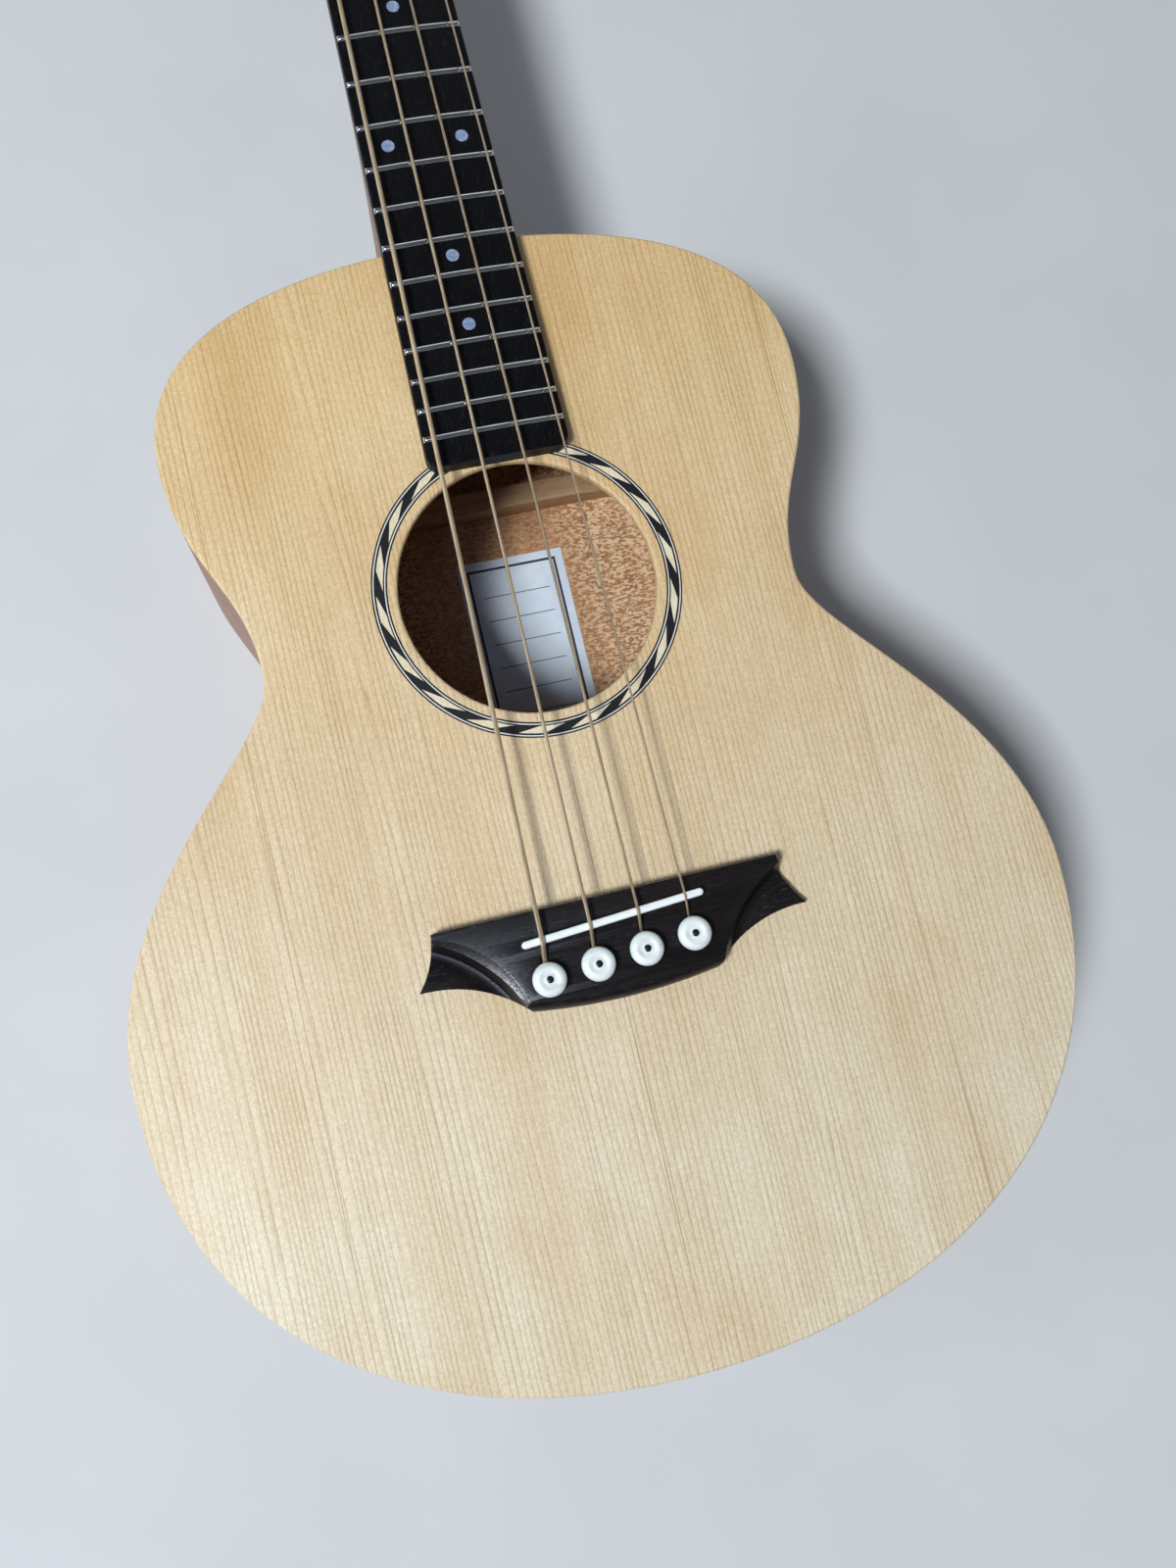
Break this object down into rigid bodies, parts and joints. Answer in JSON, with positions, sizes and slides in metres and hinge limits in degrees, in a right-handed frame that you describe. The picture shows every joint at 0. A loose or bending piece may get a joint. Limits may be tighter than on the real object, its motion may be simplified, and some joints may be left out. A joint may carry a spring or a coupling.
{
  "type": "acoustic bass guitar",
  "caption": "Flat-topped acoustic bass guitar with a waisted wooden body, round soundhole, carved pin bridge, fretted neck and geared tuning keys that turn the string posts.",
  "frame": {"origin": "on the outer flat face of the back, on the centre line, under the line at the bridge where the scale length starts", "axes": "+Y along the neck to the headstock, +Z out of the soundboard, +X to the treble side"},
  "size_m": [0.3502, 0.9214, 0.119],
  "materials": {
    "spruce": "satin lacquer",
    "mahogany": "satin lacquer",
    "neck_wood": "satin lacquer",
    "brace_wood": "raw sanded",
    "rosewood": "oiled",
    "inlay": "lacquered flush",
    "bone": "polished",
    "ivory_plastic": "polished",
    "black_wood": "polished",
    "paper": "matte",
    "nickel": "polished nickel plate",
    "steel": "plain steel",
    "bronze": "bronze wound wire"
  },
  "bodies": {
    "body": {"soundboard": "spruce", "rosette": "inlay", "back_plate": "mahogany", "end_pin": "black_wood", "side_bass": "mahogany", "side_treble": "mahogany", "lining_top_bass": "brace_wood", "lining_top_treble": "brace_wood", "lining_back_bass": "brace_wood", "lining_back_treble": "brace_wood", "neck_block": "mahogany", "tail_block": "mahogany", "x_brace_bass": "brace_wood", "x_brace_treble": "brace_wood", "upper_brace": "brace_wood", "tone_bar_upper": "brace_wood", "tone_bar_lower": "brace_wood", "bridge_plate": "brace_wood", "back_brace_1": "brace_wood", "back_brace_2": "brace_wood", "back_brace_3": "brace_wood", "back_brace_4": "brace_wood", "label": "paper", "bridge": "rosewood", "saddle": "bone", "bridge_pin_e": "ivory_plastic", "bridge_pin_a": "ivory_plastic", "bridge_pin_d": "ivory_plastic", "bridge_pin_g": "ivory_plastic", "neck": "neck_wood", "heel_cap": "black_wood", "neck_bolt_1": "steel", "neck_bolt_2": "steel", "truss_rod": "steel", "fingerboard": "rosewood", "nut": "bone", "headstock_veneer": "rosewood", "tuner_plate_e": "nickel", "tuner_bushing_e": "nickel", "tuner_plate_a": "nickel", "tuner_bushing_a": "nickel", "tuner_plate_d": "nickel", "tuner_bushing_d": "nickel", "tuner_plate_g": "nickel", "tuner_bushing_g": "nickel", "string_e": "bronze", "string_a": "bronze", "string_d": "bronze", "string_g": "bronze"},
    "key_e": {"tuner_key_e": "nickel"},
    "post_e": {"tuner_post_e": "nickel"},
    "key_a": {"tuner_key_a": "nickel"},
    "post_a": {"tuner_post_a": "nickel"},
    "key_d": {"tuner_key_d": "nickel"},
    "post_d": {"tuner_post_d": "nickel"},
    "key_g": {"tuner_key_g": "nickel"},
    "post_g": {"tuner_post_g": "nickel"}
  },
  "joints": [
    {"name": "key_turn_e", "type": "hinge", "parent": "body", "child": "key_e", "pos_m": [-0.0205, 0.64571, 0.0707], "axis": [1, 0, 0], "range_deg": [-1440, 360]},
    {"name": "post_turn_e", "type": "hinge", "parent": "body", "child": "post_e", "pos_m": [-0.0205, 0.64148, 0.09432], "axis": [0, 0.2419, 0.9703], "range_deg": [-90, 22.5]},
    {"name": "key_turn_a", "type": "hinge", "parent": "body", "child": "key_a", "pos_m": [-0.0235, 0.70781, 0.05522], "axis": [1, 0, 0], "range_deg": [-1440, 360]},
    {"name": "post_turn_a", "type": "hinge", "parent": "body", "child": "post_a", "pos_m": [-0.0235, 0.70357, 0.07884], "axis": [0, 0.2419, 0.9703], "range_deg": [-90, 22.5]},
    {"name": "key_turn_d", "type": "hinge", "parent": "body", "child": "key_d", "pos_m": [0.0235, 0.70781, 0.05522], "axis": [1, 0, 0], "range_deg": [-360, 1440]},
    {"name": "post_turn_d", "type": "hinge", "parent": "body", "child": "post_d", "pos_m": [0.0235, 0.70357, 0.07884], "axis": [0, 0.2419, 0.9703], "range_deg": [-22.5, 90]},
    {"name": "key_turn_g", "type": "hinge", "parent": "body", "child": "key_g", "pos_m": [0.0205, 0.64571, 0.0707], "axis": [1, 0, 0], "range_deg": [-360, 1440]},
    {"name": "post_turn_g", "type": "hinge", "parent": "body", "child": "post_g", "pos_m": [0.0205, 0.64148, 0.09432], "axis": [0, 0.2419, 0.9703], "range_deg": [-22.5, 90]}
  ],
  "couplings": [
    {"joint": "post_turn_e", "follows": "key_turn_e", "ratio": 0.0625},
    {"joint": "post_turn_a", "follows": "key_turn_a", "ratio": 0.0625},
    {"joint": "post_turn_d", "follows": "key_turn_d", "ratio": 0.0625},
    {"joint": "post_turn_g", "follows": "key_turn_g", "ratio": 0.0625}
  ]
}
